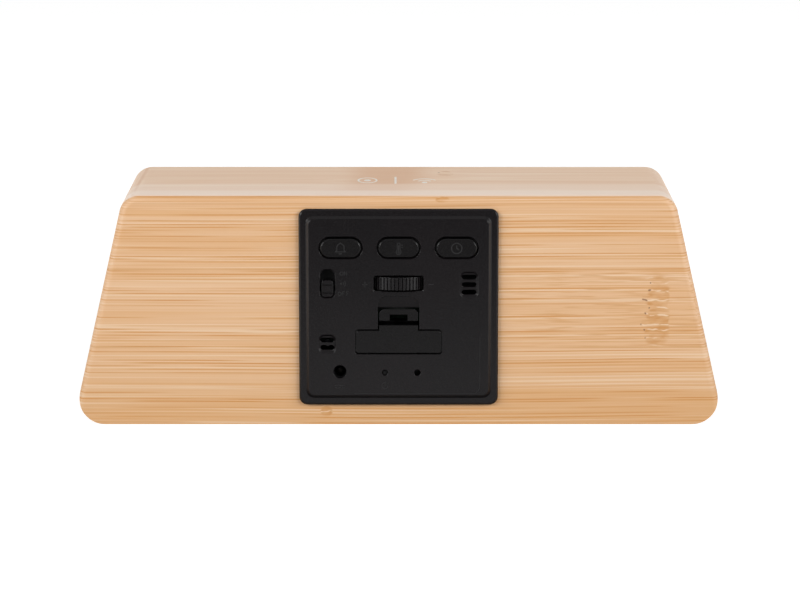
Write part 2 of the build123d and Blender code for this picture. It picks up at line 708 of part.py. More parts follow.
# Adjusting wheel with ribs round its rim
with BuildPart() as adjust_wheel:
    with BuildSketch(cross_plane(WHEEL_Y - WHEEL_T / 2, wheel_z)):
        Circle(WHEEL_R)
        with PolarLocations(WHEEL_R, WHEEL_RIBS):
            Polygon(
                (-RIB_DEPTH, 0),
                (RIB_DEPTH, -RIB_GAP),
                (RIB_DEPTH, RIB_GAP),
                align=None,
                mode=Mode.SUBTRACT,
            )
        Circle(AXLE_R + FIT, mode=Mode.SUBTRACT)
    extrude(amount=WHEEL_T)
adjust_wheel.part.label = "adjust_wheel"

# Axle that turns in the two ears and in the encoder
with BuildPart() as wheel_axle:
    with BuildSketch(cross_plane(axle_low, wheel_z)):
        Circle(AXLE_R)
    extrude(amount=axle_length)
wheel_axle.part.label = "wheel_axle"

# Encoder that reads the turning axle
with BuildPart() as wheel_encoder:
    with BuildSketch(back.offset(board_top)):
        with Locations((0, encoder_low + ENCODER_T / 2)):
            Rectangle(ENCODER_WIDTH, ENCODER_T)
    extrude(amount=wheel_z + ENCODER_WIDTH / 2 - board_top)
    with BuildSketch(cross_plane(axle_low, wheel_z)):
        Circle(AXLE_R + FIT)
    extrude(amount=axle_length, mode=Mode.SUBTRACT)
wheel_encoder.part.label = "wheel_encoder"

# Battery door: plate, spring latch with its thumb plate, and two hinge tabs below the rim
bend_r = (LATCH_GAP + LATCH_T) / 2
bend_y = (neck_top + latch_y) / 2
bend_z = door_under - LATCH_DEPTH
thumb_top = panel_top - LATCH_BELOW
thumb_under = thumb_top - LATCH_T
tab_top = panel_under - POCKET_GAP
with BuildPart() as battery_door:
    with BuildSketch(back.offset(door_under)):
        with Locations((0, bar_y)):
            RectangleRounded(DOOR_WIDTH, DOOR_HEIGHT, DOOR_CORNER_R)
            Rectangle(NECK_WIDTH, neck_top - bar_y, align=(Align.CENTER, Align.MIN))
    extrude(amount=DOOR_T)
    with BuildSketch(upright(back)):
        with BuildLine():
            leg = Line((bend_y - bend_r, door_under), (bend_y - bend_r, bend_z))
            bend = ThreePointArc(leg @ 1, (bend_y, bend_z - bend_r), (bend_y + bend_r, bend_z))
            Line(bend @ 1, (bend_y + bend_r, thumb_under))
        trace(line_width=LATCH_T)
        with Locations((latch_y, thumb_under)):
            Rectangle(LATCH_HEIGHT, LATCH_T, align=(Align.MIN, Align.MIN))
    extrude(amount=NECK_WIDTH / 2, both=True)
    chamfer(battery_door.edges().filter_by(outward).group_by(up_slope)[-1], LATCH_CHAMFER)
    with BuildSketch(back.offset(thumb_top)):
        with Locations((0, latch_y)):
            Rectangle(NOTCH_WIDTH, NOTCH_HEIGHT, align=(Align.CENTER, Align.MIN))
    extrude(amount=-NOTCH_DEPTH, mode=Mode.SUBTRACT)
    with BuildSketch(upright(back).offset(-HINGE_TAB_X), upright(back).offset(HINGE_TAB_X)):
        with Locations((DOOR_Y + DOOR_GAP, door_under)):
            Rectangle(
                HINGE_TAB_T,
                door_under - tab_top + HINGE_TAB_T,
                align=(Align.MIN, Align.MAX),
            )
        with Locations((DOOR_Y + DOOR_GAP + HINGE_TAB_T, tab_top)):
            Rectangle(
                HINGE_TAB_REACH + DOOR_GAP + HINGE_TAB_T,
                HINGE_TAB_T,
                align=(Align.MAX, Align.MAX),
            )
    extrude(amount=HINGE_TAB_WIDTH / 2, both=True)
battery_door.part.label = "battery_door"

# Battery holder, its lip resting on the board
with BuildPart() as battery_holder:
    with BuildSketch(back.offset(holder_top)):
        with Locations((0, bar_y)):
            Rectangle(holder_width, holder_height)
    extrude(amount=holder_under - holder_top)
    with BuildSketch(back.offset(board_top)):
        with Locations((0, bar_y)):
            Rectangle(holder_width + 2 * HOLDER_LIP, holder_height + 2 * HOLDER_LIP)
    extrude(amount=HOLDER_LIP_T)
    with BuildSketch(back.offset(holder_top)):
        with Locations((0, bar_y)):
            Rectangle(bay_width, bay_height)
    extrude(amount=holder_under + HOLDER_WALL - holder_top, mode=Mode.SUBTRACT)
battery_holder.part.label = "battery_holder"

# Coin cell, edge on to the door
with BuildPart() as coin_cell:
    with BuildSketch(cross_plane(bar_y - CELL_T / 2, cell_z)):
        Circle(CELL_R)
    extrude(amount=CELL_T)
coin_cell.part.label = "coin_cell"

# Contact strips on the two faces of the cell
with BuildPart() as positive_contact:
    with BuildSketch(cross_plane(bar_y + CELL_T / 2, cell_z)):
        Rectangle(CONTACT_WIDTH, CONTACT_LENGTH)
    extrude(amount=CONTACT_T)
positive_contact.part.label = "positive_contact"

with BuildPart() as negative_contact:
    with BuildSketch(cross_plane(bar_y - CELL_T / 2, cell_z)):
        Rectangle(CONTACT_WIDTH, CONTACT_LENGTH)
    extrude(amount=-CONTACT_T)
negative_contact.part.label = "negative_contact"

# Main board with openings for the wheel, the battery holder and the screws
with BuildPart() as main_board:
    with BuildSketch(back.offset(board_back)) as board_outline:
        Rectangle(board_width, board_height)
        chamfer(board_outline.vertices(), CAVITY_CORNER_R / 2)
        with Locations((0, WHEEL_Y)):
            Rectangle(
                2 * (WHEEL_R + BOARD_HOLE_GAP),
                WHEEL_T + 2 * BOARD_HOLE_GAP,
                mode=Mode.SUBTRACT,
            )
        with Locations((0, bar_y)):
            Rectangle(
                holder_width + 2 * POCKET_GAP,
                holder_height + 2 * POCKET_GAP,
                mode=Mode.SUBTRACT,
            )
        with Locations(*boss_spots):
            Circle(SCREW_R + POCKET_GAP, mode=Mode.SUBTRACT)
    extrude(amount=BOARD_T)
main_board.part.label = "main_board"

# Screws from inside, through the board into the bosses
with BuildPart() as board_screws:
    with BuildSketch(back.offset(board_back)):
        with Locations(*boss_spots):
            RegularPolygon(SCREW_HEAD_R, SCREW_HEAD_SIDES)
    extrude(amount=-SCREW_HEAD_T)
    with BuildSketch(back.offset(board_back)):
        with Locations(*boss_spots):
            Circle(SCREW_R)
    extrude(amount=BOARD_T + SCREW_GRIP)
board_screws.part.label = "board_screws"

# Inlet socket behind its hole, and the pin in the middle of it
jack_top = panel_under - FIT
with BuildPart() as inlet_socket:
    with BuildSketch(back.offset(board_top)):
        with Locations((JACK_X, JACK_Y)):
            Rectangle(JACK_SIZE, JACK_SIZE)
    extrude(amount=jack_top - board_top)
    with BuildSketch(back.offset(jack_top)):
        with Locations((JACK_X, JACK_Y)):
            Circle(JACK_BORE_R)
    extrude(amount=-JACK_BORE_DEPTH, mode=Mode.SUBTRACT)
inlet_socket.part.label = "inlet_socket"

with BuildPart() as inlet_pin:
    with BuildSketch(back.offset(jack_top - JACK_BORE_DEPTH)):
        with Locations((JACK_X, JACK_Y)):
            Circle(JACK_PIN_R)
    extrude(amount=JACK_BORE_DEPTH - JACK_PIN_BELOW)
inlet_pin.part.label = "inlet_pin"

# Sounder behind the three slots
with BuildPart() as sounder:
    with BuildSketch(back.offset(board_top)):
        with Locations((SOUND_VENT_X, SOUND_VENT_Y)):
            Circle(SOUNDER_R)
    extrude(amount=SOUNDER_HEIGHT)
    with BuildSketch(back.offset(board_top + SOUNDER_HEIGHT)):
        with Locations((SOUND_VENT_X, SOUND_VENT_Y)):
            Circle(SOUNDER_HOLE_R)
    extrude(amount=-SOUNDER_HOLE_R, mode=Mode.SUBTRACT)
sounder.part.label = "sounder"

# Temperature sensor behind the two slots: a bead on two leads
sensor_z = panel_under - SENSOR_BELOW
with BuildPart() as temperature_sensor:
    with BuildSketch(back.offset(sensor_z)):
        with Locations((AIR_VENT_X, AIR_VENT_Y)):
            Circle(SENSOR_R)
    extrude(amount=-SENSOR_LENGTH)
    with BuildSketch(back.offset(board_top)):
        with Locations((AIR_VENT_X, AIR_VENT_Y)):
            with GridLocations(SENSOR_LEAD_PITCH, 0, 2, 1):
                Rectangle(SENSOR_LEAD, SENSOR_LEAD)
    extrude(amount=sensor_z - SENSOR_LENGTH / 2 - board_top)
temperature_sensor.part.label = "temperature_sensor"

# Microphone capsule and the rubber boot that leads its hole to it
with BuildPart() as microphone:
    with BuildSketch(back.offset(board_top)):
        with Locations((MIC_X, MIC_Y)):
            Circle(MIC_R)
    extrude(amount=MIC_HEIGHT)
microphone.part.label = "microphone"

with BuildPart() as microphone_boot:
    with BuildSketch(back.offset(board_top)):
        with Locations((MIC_X, MIC_Y)):
            RegularPolygon(MIC_R + FIT + BOOT_WALL, BOOT_SIDES, major_radius=False)
            Circle(MIC_R + FIT, mode=Mode.SUBTRACT)
    extrude(amount=BOARD_GAP - FIT)
microphone_boot.part.label = "microphone_boot"

# Control chip and quartz crystal on the inner side of the board
with BuildPart() as control_chip:
    with BuildSketch(back.offset(board_back)):
        with Locations((CHIP_X, CHIP_Y)):
            Rectangle(CHIP_SIZE, CHIP_SIZE)
    extrude(amount=-CHIP_T)
control_chip.part.label = "control_chip"

with BuildPart() as quartz_crystal:
    with BuildSketch(back.offset(board_back)):
        with Locations((CRYSTAL_X, CRYSTAL_Y)):
            SlotOverall(CRYSTAL_LENGTH, CRYSTAL_WIDTH)
    extrude(amount=-CRYSTAL_HEIGHT)
quartz_crystal.part.label = "quartz_crystal"

# Touch foil on the ceiling of the cavity, and the leaf that joins it to the board
foil_y = cavity_height / 2 - FOIL_T
foil_z = TAPE_T - SKIRT_DEPTH - POCKET_GAP - FOIL_LENGTH / 2
with BuildPart() as touch_foil:
    with BuildSketch(cross_plane(foil_y, foil_z)):
        Rectangle(FOIL_WIDTH, FOIL_LENGTH)
    extrude(amount=FOIL_T)
touch_foil.part.label = "touch_foil"

leaf_z = board_back - SPRING_T / 2
leaf_edge = board_height / 2 - SPRING_T
leaf_tip = foil_y - SPRING_T
with BuildPart() as touch_spring:
    with BuildSketch(upright(back).offset(SPRING_X)):
        with BuildLine():
            Polyline(
                (leaf_edge - SPRING_FOOT, leaf_z),
                (leaf_edge, leaf_z),
                (leaf_tip, leaf_z - 2 * (leaf_tip - leaf_edge)),
            )
        trace(line_width=SPRING_T)
    extrude(amount=SPRING_WIDTH / 2, both=True)
touch_spring.part.label = "touch_spring"

pieces = [
    bamboo_body,
    front_veneer,
    display_diffuser,
    display_frame,
    display_board,
    display_lamps,
    display_connector,
    board_connector,
    display_ribbon,
    back_cover,
    cover_tape,
    *buttons,
    *plungers,
    reset_pin,
    key_switches,
    slide_knob,
    slide_lever,
    slide_body,
    adjust_wheel,
    wheel_axle,
    wheel_encoder,
    battery_door,
    battery_holder,
    coin_cell,
    positive_contact,
    negative_contact,
    main_board,
    board_screws,
    inlet_socket,
    inlet_pin,
    sounder,
    temperature_sensor,
    microphone,
    microphone_boot,
    control_chip,
    quartz_crystal,
    touch_foil,
    touch_spring,
]
os.makedirs("parts", exist_ok=True)
for piece in pieces:
    export_step(piece.part, f"parts/{piece.part.label}.step")
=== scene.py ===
"""Bamboo desk clock from behind: finishes, moulded signs, touch marks, lit digits, floor, lamps and camera."""
import json
from math import cos, radians, sin, tan

import bpy
from mathutils import Matrix, Vector


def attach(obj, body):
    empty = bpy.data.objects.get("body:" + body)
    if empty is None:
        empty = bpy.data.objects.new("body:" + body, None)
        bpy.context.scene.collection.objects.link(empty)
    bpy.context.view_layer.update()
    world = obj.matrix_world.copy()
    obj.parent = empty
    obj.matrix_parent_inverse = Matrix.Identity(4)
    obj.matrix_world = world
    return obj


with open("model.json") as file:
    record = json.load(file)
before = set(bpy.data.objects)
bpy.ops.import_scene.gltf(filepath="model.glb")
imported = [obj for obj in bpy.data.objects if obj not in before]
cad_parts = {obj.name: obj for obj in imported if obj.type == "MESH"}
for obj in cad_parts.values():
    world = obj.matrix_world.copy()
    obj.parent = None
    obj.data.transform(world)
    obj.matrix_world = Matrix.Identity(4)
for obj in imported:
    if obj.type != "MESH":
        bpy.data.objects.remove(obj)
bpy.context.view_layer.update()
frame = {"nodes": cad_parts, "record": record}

# Sizes of the clock in mm
MM = 0.001
HEIGHT = 69.3
LEAN = radians(13.5)
HALF_TOP_DEPTH = 18.0
HALF_BASE_DEPTH = HALF_TOP_DEPTH + HEIGHT * tan(LEAN)
HALF_BASE_WIDTH = 102
COVER_CENTRE = 36.9  # up the slope from the base
DISPLAY_CENTRE = 36.0
PANEL_TOP = 2.5  # out of the wood
BUTTON_TOP = 3.1
SHROUD_TOP = -1.05  # of the slide knob's shroud, under the face of the wood

# The three faces that signs are laid on: x to the right, y up, z out of the face
BACK_FACE = Matrix((
    (-1, 0, 0, 0),
    (0, -sin(LEAN), cos(LEAN), HALF_BASE_DEPTH - COVER_CENTRE * sin(LEAN)),
    (0, cos(LEAN), sin(LEAN), COVER_CENTRE * cos(LEAN)),
    (0, 0, 0, 1),
))
FRONT_FACE = Matrix((
    (1, 0, 0, 0),
    (0, sin(LEAN), -cos(LEAN), -HALF_BASE_DEPTH + DISPLAY_CENTRE * sin(LEAN)),
    (0, cos(LEAN), sin(LEAN), DISPLAY_CENTRE * cos(LEAN)),
    (0, 0, 0, 1),
))
TOP_FACE = Matrix((
    (-1, 0, 0, 0),
    (0, -1, 0, 0),
    (0, 0, 1, HEIGHT),
    (0, 0, 0, 1),
))


# Finishes
SMOOTH = {"interpolation_type": "SMOOTHSTEP"}
COLOURS = {"data_type": "RGBA"}


def linear(code):
    """Linear colour from an sRGB hex value."""
    shares = [int(code[i:i + 2], 16) / 255 for i in (1, 3, 5)]
    return [v / 12.92 if v <= 0.04045 else ((v + 0.055) / 1.055) ** 2.4 for v in shares] + [1.0]


def add(tree, kind, settings, inputs, output=None):
    """Adds one shader node, sets or links its inputs, and gives its first output, a named one or all."""
    new = tree.nodes.new("ShaderNode" + kind)
    for name, value in settings.items():
        setattr(new, name, value)
    for key, value in inputs.items():
        socket = new.inputs[key] if isinstance(key, int) else next(
            s for s in new.inputs if s.enabled and s.name == key)
        if isinstance(value, bpy.types.NodeSocket):
            tree.links.new(value, socket)
        else:
            socket.default_value = value
    if output == "all":
        return new.outputs
    return new.outputs[output] if output else next(s for s in new.outputs if s.enabled)


def start(name):
    """A new finish: its node tree, its shader and the place on the object in metres."""
    finish = bpy.data.materials.new(name)
    finish.use_nodes = True
    tree = finish.node_tree
    return finish, tree, tree.nodes["Principled BSDF"], add(tree, "TexCoord", {}, {}, "Object")


def streaks(tree, place, size, low, high, seed, detail=2.0):
    """0 to 1 mask of blotches of a size in mm, the same all through the piece; longer in x gives grain."""
    spot = add(tree, "Mapping", {"vector_type": "TEXTURE"}, {
        "Vector": place, "Location": (seed, 0.37 * seed, 0.61 * seed), "Scale": [v * MM for v in size]})
    raw = add(tree, "TexNoise", {}, {"Vector": spot, "Scale": 1.0, "Detail": detail})
    return add(tree, "MapRange", SMOOTH, {"Value": raw, "From Min": low, "From Max": high})


def fibre_lines(tree, grain):
    """0 to 1 mask of thin level lines, one to a row of fibres, with their own heights, strengths and breaks."""
    axes = add(tree, "SeparateXYZ", {}, {0: grain}, "all")
    row = add(tree, "Math", {"operation": "DIVIDE"}, {0: axes["Z"], 1: FIBRE_PITCH * MM})
    number = add(tree, "Math", {"operation": "FLOOR"}, {0: row})
    luck = add(tree, "TexWhiteNoise", {"noise_dimensions": "1D"}, {"W": number}, "Color")
    chance = add(tree, "SeparateXYZ", {}, {0: luck}, "all")
    middle = add(tree, "MapRange", {}, {"Value": chance["Z"], "To Min": 0.3, "To Max": 0.7})
    above = add(tree, "Math", {"operation": "SUBTRACT"}, {0: row, 1: number})
    above = add(tree, "Math", {"operation": "SUBTRACT"}, {0: above, 1: middle})
    above = add(tree, "Math", {"operation": "ABSOLUTE"}, {0: above})
    line = add(tree, "MapRange", SMOOTH, {
        "Value": above, "From Min": 0.27 / FIBRE_PITCH, "From Max": 0.08 / FIBRE_PITCH})
    strong = add(tree, "MapRange", {}, {"Value": chance["X"], "From Min": 0.15, "From Max": 0.85})
    line = add(tree, "Math", {"operation": "MULTIPLY"}, {0: line, 1: strong})
    run = add(tree, "Math", {"operation": "DIVIDE"}, {0: axes["X"], 1: FIBRE_RUN * MM})
    run = add(tree, "CombineXYZ", {}, {"X": run, "Y": number})
    run = add(tree, "TexNoise", {"noise_dimensions": "2D"}, {"Vector": run, "Scale": 1.0, "Detail": 1.0})
    run = add(tree, "MapRange", SMOOTH, {"Value": run, "From Min": 0.36, "From Max": 0.58})
    return add(tree, "Math", {"operation": "MULTIPLY"}, {0: line, 1: run})


def tint(tree, share, under, over, most=1.0):
    """Colour over another one where a mask is, up to a share of it."""
    amount = add(tree, "Math", {"operation": "MULTIPLY"}, {0: share, 1: most})
    return add(tree, "Mix", COLOURS, {"Factor": amount, "A": under, "B": over})


# Bamboo in three thick layers, sanded and satin lacquered: pale tan with long thin amber fibre bundles, a few
# culm joints with short wisps and dark pores, and a soft sheen that veils faces seen at a low angle. Real
# bundles lie closer than a millimetre; they are drawn one to 0.9 mm, because closer ones wouldn't show
LAYER = 23.6
FIBRE_PITCH = 0.9
FIBRE_RUN = 55
WISP_PITCH = 2.9
END_GRAIN_FROM, END_GRAIN_FULL = 0.3, 0.02  # under the end faces
# painted sheen that pales the top: a share all over, and two steps across it
PAINTED_SHEEN_ALL_OVER = 1.1
PAINTED_SHEEN_STEPS = ((3, 5.5), (10.5, 13))  # across the top, towards the back
TOP_FIBRES = (65.5, 67.5)
SHORT_FIBRES = (-25, -50)
GLUE_LINE = 0.5


def grain_place(tree, place, number):
    """Place in the grain: each layer takes its fibres from elsewhere, and the fibres wander a little."""
    shift = add(tree, "TexWhiteNoise", {"noise_dimensions": "1D"}, {"W": number}, "Color")
    bend = add(tree, "TexNoise", {}, {"Vector": place, "Scale": 1 / (220 * MM), "Detail": 1.0}, "Color")
    bend = add(tree, "VectorMath", {"operation": "MULTIPLY"}, {0: bend, 1: (0, 4 * MM, 4 * MM)})
    grain = add(tree, "VectorMath", {"operation": "ADD"}, {0: place, 1: bend})
    return add(tree, "VectorMath", {"operation": "MULTIPLY_ADD"}, {0: shift, 1: (0.9, 0.4, 0.4), 2: grain})


def end_faces(tree, axes):
    """0 to 1 mask of the two leaning ends."""
    out = add(tree, "Math", {"operation": "ABSOLUTE"}, {0: axes["X"]})
    out = add(tree, "Math", {"operation": "MULTIPLY_ADD"}, {0: axes["Z"], 1: tan(LEAN), 2: out})
    return add(tree, "MapRange", SMOOTH, {
        "Value": out, "From Min": (HALF_BASE_WIDTH - END_GRAIN_FROM) * MM,
        "From Max": (HALF_BASE_WIDTH - END_GRAIN_FULL) * MM})


def level_face(tree):
    """0 to 1 mask of the top and its rounded ends, taken from how the surface lies on the clock."""
    facing = add(tree, "SeparateXYZ", {}, {0: add(tree, "TexCoord", {}, {}, "Normal")}, "all")
    tilt = add(tree, "Math", {"operation": "ABSOLUTE"}, {0: facing["Y"]})
    level = add(tree, "Math", {"operation": "SUBTRACT"}, {0: facing["Z"], 1: tilt})
    return add(tree, "MapRange", SMOOTH, {"Value": level, "From Min": 0.25, "From Max": 0.67})


def lacquered_bamboo(name, joints):
    finish, tree, shader, place = start(name)
    axes = add(tree, "SeparateXYZ", {}, {0: place}, "all")
    layer = add(tree, "MapRange", {"clamp": False}, {"Value": axes["Z"], "From Max": LAYER * MM})
    number = add(tree, "Math", {"operation": "FLOOR"}, {0: layer})
    grain = grain_place(tree, place, number)
    # Broad tone, soft amber smears, fine fibres, pale bundles and thin amber lines that come and go
    tone = streaks(tree, grain, (150, 5, 5), 0.3, 0.7, 3.0)
    smear = streaks(tree, grain, (110, 4, 1.5), 0.48, 0.74, 6.0, 1.0)
    fine = streaks(tree, grain, (120, 1.8, 0.3), 0.36, 0.64, 5.0, 1.0)
    pale = streaks(tree, grain, (120, 2.4, 0.5), 0.56, 0.74, 9.0, 0.0)
    vein = fibre_lines(tree, grain)
    # The two leaning ends show cut bundles as dots, and no lines
    ends = end_faces(tree, axes)
    sides = add(tree, "Math", {"operation": "SUBTRACT"}, {0: 1.0, 1: ends})
    vein = add(tree, "Math", {"operation": "MULTIPLY"}, {0: vein, 1: sides})
    dots = streaks(tree, place, (6, 0.7, 0.6), 0.56, 0.68, 15.0, 0.0)
    dots = add(tree, "Math", {"operation": "MULTIPLY"}, {0: dots, 1: ends})
    paint = add(tree, "Mix", COLOURS, {"Factor": tone, "A": linear("#E7BE95"), "B": linear("#E2B383")})
    # The lowest layer grows more amber towards the base
    low = add(tree, "MapRange", SMOOTH, {"Value": layer, "From Min": 1.0, "From Max": 0.0})
    paint = tint(tree, low, paint, linear("#D2994F"), 0.42)
    paint = tint(tree, smear, paint, linear("#DCA566"), 0.3)
    paint = tint(tree, fine, paint, linear("#D7A068"), 0.3)
    paint = tint(tree, pale, paint, linear("#F0D3B2"), 0.5)
    paint = tint(tree, vein, paint, linear("#CF8E42"))
    paint = tint(tree, dots, paint, linear("#B57A3C"), 0.38)
    # Towards its culm joint the middle layer has short broken fibres
    middle = add(tree, "Math", {"operation": "COMPARE"}, {0: number, 1: 1.0, 2: 0.1})
    end = add(tree, "MapRange", SMOOTH, {
        "Value": axes["X"], "From Min": SHORT_FIBRES[0] * MM, "From Max": SHORT_FIBRES[1] * MM})
    end = add(tree, "Math", {"operation": "MULTIPLY"}, {0: middle, 1: end})
    short = streaks(tree, grain, (13, 0.5, 0.5), 0.5, 0.7, 12.0, 1.0)
    short = add(tree, "Math", {"operation": "MULTIPLY"}, {0: end, 1: short})
    paint = tint(tree, short, paint, linear("#CE9556"), 0.6)
    # Painted sheen: the top and its rounded ends painted paler, the near part more so, in two steps
    level = level_face(tree)
    painted_sheen = PAINTED_SHEEN_ALL_OVER
    for begin, full in PAINTED_SHEEN_STEPS:
        step = add(tree, "MapRange", SMOOTH, {
            "Value": axes["Y"], "From Min": begin * MM, "From Max": full * MM})
        painted_sheen = add(tree, "Math", {"operation": "ADD"}, {0: step, 1: painted_sheen})
    painted_sheen = add(tree, "Math", {"operation": "MULTIPLY"}, {0: painted_sheen, 1: level})
    paint = tint(tree, painted_sheen, paint, linear("#FAE5D3"), 0.28)
    # Below the top the last fibres are amber
    below = add(tree, "MapRange", SMOOTH, {
        "Value": axes["Z"], "From Min": TOP_FIBRES[0] * MM, "From Max": TOP_FIBRES[1] * MM})
    below = add(tree, "Math", {"operation": "MULTIPLY"}, {0: below, 1: fine})
    clear = add(tree, "Math", {"operation": "SUBTRACT"}, {0: 1.0, 1: level})
    below = add(tree, "Math", {"operation": "MULTIPLY"}, {0: below, 1: clear})
    paint = tint(tree, below, paint, linear("#CE9250"), 0.55)
    # Glue line between the layers
    part = add(tree, "Math", {"operation": "PINGPONG"}, {0: layer, 1: 0.5})
    seam = add(tree, "MapRange", SMOOTH, {"Value": part, "From Min": GLUE_LINE / LAYER, "From Max": 0.0})
    broken = streaks(tree, place, (50, 60, 60), 0.3, 0.55, 11.0)
    seam = add(tree, "Math", {"operation": "MULTIPLY"}, {0: seam, 1: broken})
    paint = tint(tree, seam, paint, linear("#CE9553"), 0.7)
    for centre, half in joints:
        paint = culm_joint(tree, place, paint, centre, half)
    tree.links.new(paint, shader.inputs["Base Color"])
    rough = add(tree, "MapRange", {}, {"Value": fine, "To Min": 0.58, "To Max": 0.68})
    tree.links.new(rough, shader.inputs["Roughness"])
    shader.inputs["IOR"].default_value = 1.5
    shader.inputs["Coat Weight"].default_value = 1.0
    shader.inputs["Coat Roughness"].default_value = 0.5
    relief = add(tree, "Math", {"operation": "MULTIPLY_ADD"}, {0: vein, 1: -0.6, 2: fine})
    dent = add(tree, "Bump", {}, {"Height": relief, "Strength": 0.04, "Distance": 0.02 * MM})
    tree.links.new(dent, shader.inputs["Normal"])
    return finish


def culm_joint(tree, place, paint, centre, half):
    """Mark of a culm joint, in mm: an amber patch with rows of pale wisps that each end in a pore."""
    spot = add(tree, "Mapping", {"vector_type": "TEXTURE"}, {
        "Vector": place, "Location": [v * MM for v in centre], "Scale": (MM, MM, MM)})
    reach = add(tree, "VectorMath", {"operation": "DIVIDE"}, {0: spot, 1: half})
    reach = add(tree, "VectorMath", {"operation": "LENGTH"}, {0: reach}, "Value")
    inside = add(tree, "MapRange", SMOOTH, {"Value": reach, "From Min": 1.0, "From Max": 0.7})
    # Nothing in it is straight
    stray = add(tree, "TexNoise", {}, {"Vector": spot, "Scale": 1 / 3.4, "Detail": 1.0}, "Color")
    stray = add(tree, "VectorMath", {"operation": "SUBTRACT"}, {0: stray, 1: (0.5, 0.5, 0.5)})
    spot = add(tree, "VectorMath", {"operation": "MULTIPLY_ADD"}, {0: stray, 1: (5.0, 1.6, 1.6), 2: spot})
    axes = add(tree, "SeparateXYZ", {}, {0: spot}, "all")
    # Rows lie one above another on a leaning face, and one behind another on a level one
    climb = add(tree, "Math", {"operation": "SUBTRACT"}, {0: axes["Z"], 1: axes["Y"]})
    row = add(tree, "Math", {"operation": "DIVIDE"}, {0: climb, 1: WISP_PITCH})
    number = add(tree, "Math", {"operation": "FLOOR"}, {0: row})
    luck = add(tree, "TexWhiteNoise", {"noise_dimensions": "1D"}, {"W": number}, "Color")
    chance = add(tree, "SeparateXYZ", {}, {0: luck}, "all")
    middle = add(tree, "MapRange", {}, {"Value": chance["Z"], "To Min": 0.3, "To Max": 0.7})
    above = add(tree, "Math", {"operation": "SUBTRACT"}, {0: row, 1: number})
    above = add(tree, "Math", {"operation": "SUBTRACT"}, {0: above, 1: middle})
    above = add(tree, "Math", {"operation": "MULTIPLY"}, {0: above, 1: WISP_PITCH})
    along = add(tree, "Math", {"operation": "MULTIPLY_ADD"}, {
        0: chance["X"], 1: 2.4, 2: axes["X"]})
    # The patch and the wisps run from the pores to the straight edge of the joint
    patch = add(tree, "MapRange", SMOOTH, {"Value": along, "From Min": 4.6, "From Max": 3.2})
    edge = add(tree, "MapRange", SMOOTH, {"Value": axes["X"], "From Min": -4.7, "From Max": -3.7})
    patch = add(tree, "Math", {"operation": "MULTIPLY"}, {0: patch, 1: edge})
    patch = add(tree, "Math", {"operation": "MULTIPLY"}, {0: patch, 1: inside})
    blotch = streaks(tree, place, (6, 1.4, 1.4), 0.3, 0.75, 13.0)
    blotch = add(tree, "Math", {"operation": "MULTIPLY"}, {0: patch, 1: blotch})
    paint = tint(tree, blotch, paint, linear("#C98A40"), 0.9)
    thin = add(tree, "Math", {"operation": "ABSOLUTE"}, {0: above})
    thin = add(tree, "MapRange", SMOOTH, {"Value": thin, "From Min": 0.36, "From Max": 0.1})
    wisp = add(tree, "Math", {"operation": "MULTIPLY"}, {0: patch, 1: thin})
    torn = streaks(tree, place, (3, 0.8, 0.8), 0.36, 0.56, 14.0)
    wisp = add(tree, "Math", {"operation": "MULTIPLY"}, {0: wisp, 1: torn})
    paint = tint(tree, wisp, paint, linear("#EFD3B2"), 0.85)
    gap = add(tree, "CombineXYZ", {}, {"X": along, "Y": above})
    gap = add(tree, "VectorMath", {"operation": "DISTANCE"}, {0: gap, 1: (4.0, 0.1, 0)}, "Value")
    pore = add(tree, "MapRange", SMOOTH, {"Value": gap, "From Min": 0.44, "From Max": 0.2})
    pore = add(tree, "Math", {"operation": "MULTIPLY"}, {0: pore, 1: inside})
    return tint(tree, pore, paint, linear("#7A4312"), 0.8)


def two_tone(tree, shader, mask, shade, deep):
    """Colours the shader from one shade to another with a mask, and gives that colour."""
    paint = add(tree, "Mix", COLOURS, {"Factor": mask, "A": linear(shade), "B": linear(deep)})
    tree.links.new(paint, shader.inputs["Base Color"])
    return paint


def moulded(name, shade, deep, roughness, grit, ior=1.5, edge=0.0, relief=0.01):
    """Moulded or cast surface: a colour with a slow drift, grit of a size in mm and, if given, soft edges."""
    finish, tree, shader, place = start(name)
    drift = streaks(tree, place, (18, 18, 18), 0.3, 0.7, 2.0)
    two_tone(tree, shader, drift, shade, deep)
    speck = streaks(tree, place, (grit, grit, grit), 0.3, 0.7, 4.0)
    rough = add(tree, "MapRange", {}, {
        "Value": speck, "To Min": roughness - 0.05, "To Max": roughness + 0.05})
    tree.links.new(rough, shader.inputs["Roughness"])
    shader.inputs["IOR"].default_value = ior
    bump = {"Height": speck, "Strength": 0.3, "Distance": relief * MM}
    if edge:
        bump["Normal"] = add(tree, "Bevel", {"samples": 6}, {"Radius": edge * MM})
    tree.links.new(add(tree, "Bump", {}, bump), shader.inputs["Normal"])
    return finish


def metal(name, shade, deep, roughness, grain):
    """Bare or plated metal with marks of a size in mm left by drawing or rolling."""
    finish, tree, shader, place = start(name)
    marks = streaks(tree, place, grain, 0.35, 0.65, 6.0)
    two_tone(tree, shader, marks, shade, deep)
    rough = add(tree, "MapRange", {}, {
        "Value": marks, "To Min": roughness - 0.06, "To Max": roughness + 0.06})
    tree.links.new(rough, shader.inputs["Roughness"])
    shader.inputs["Metallic"].default_value = 1.0
    return finish


# Joints of the culm, as (centre, half size) in mm, in the block and in the veneer of the display side
BLOCK_JOINTS = [
    ((-80, 27, 35), (6.4, 13, 13)),
    ((-15, -8, 69), (3.0, 3.5, 2.0)),
    ((-13.5, 18.5, 68.3), (2.6, 2.0, 1.1)),
    ((22.5, 33, 4), (2.2, 4, 2.0)),
]
VENEER_JOINTS = [
    ((62, -24, 56), (5.0, 12, 11.5)),
    ((-38, -33, 11), (4.6, 10, 11)),
]
bamboo = lacquered_bamboo("laminated_bamboo_sanded_and_lacquered", BLOCK_JOINTS)
veneer = lacquered_bamboo("bamboo_veneer_sanded_and_lacquered", VENEER_JOINTS)
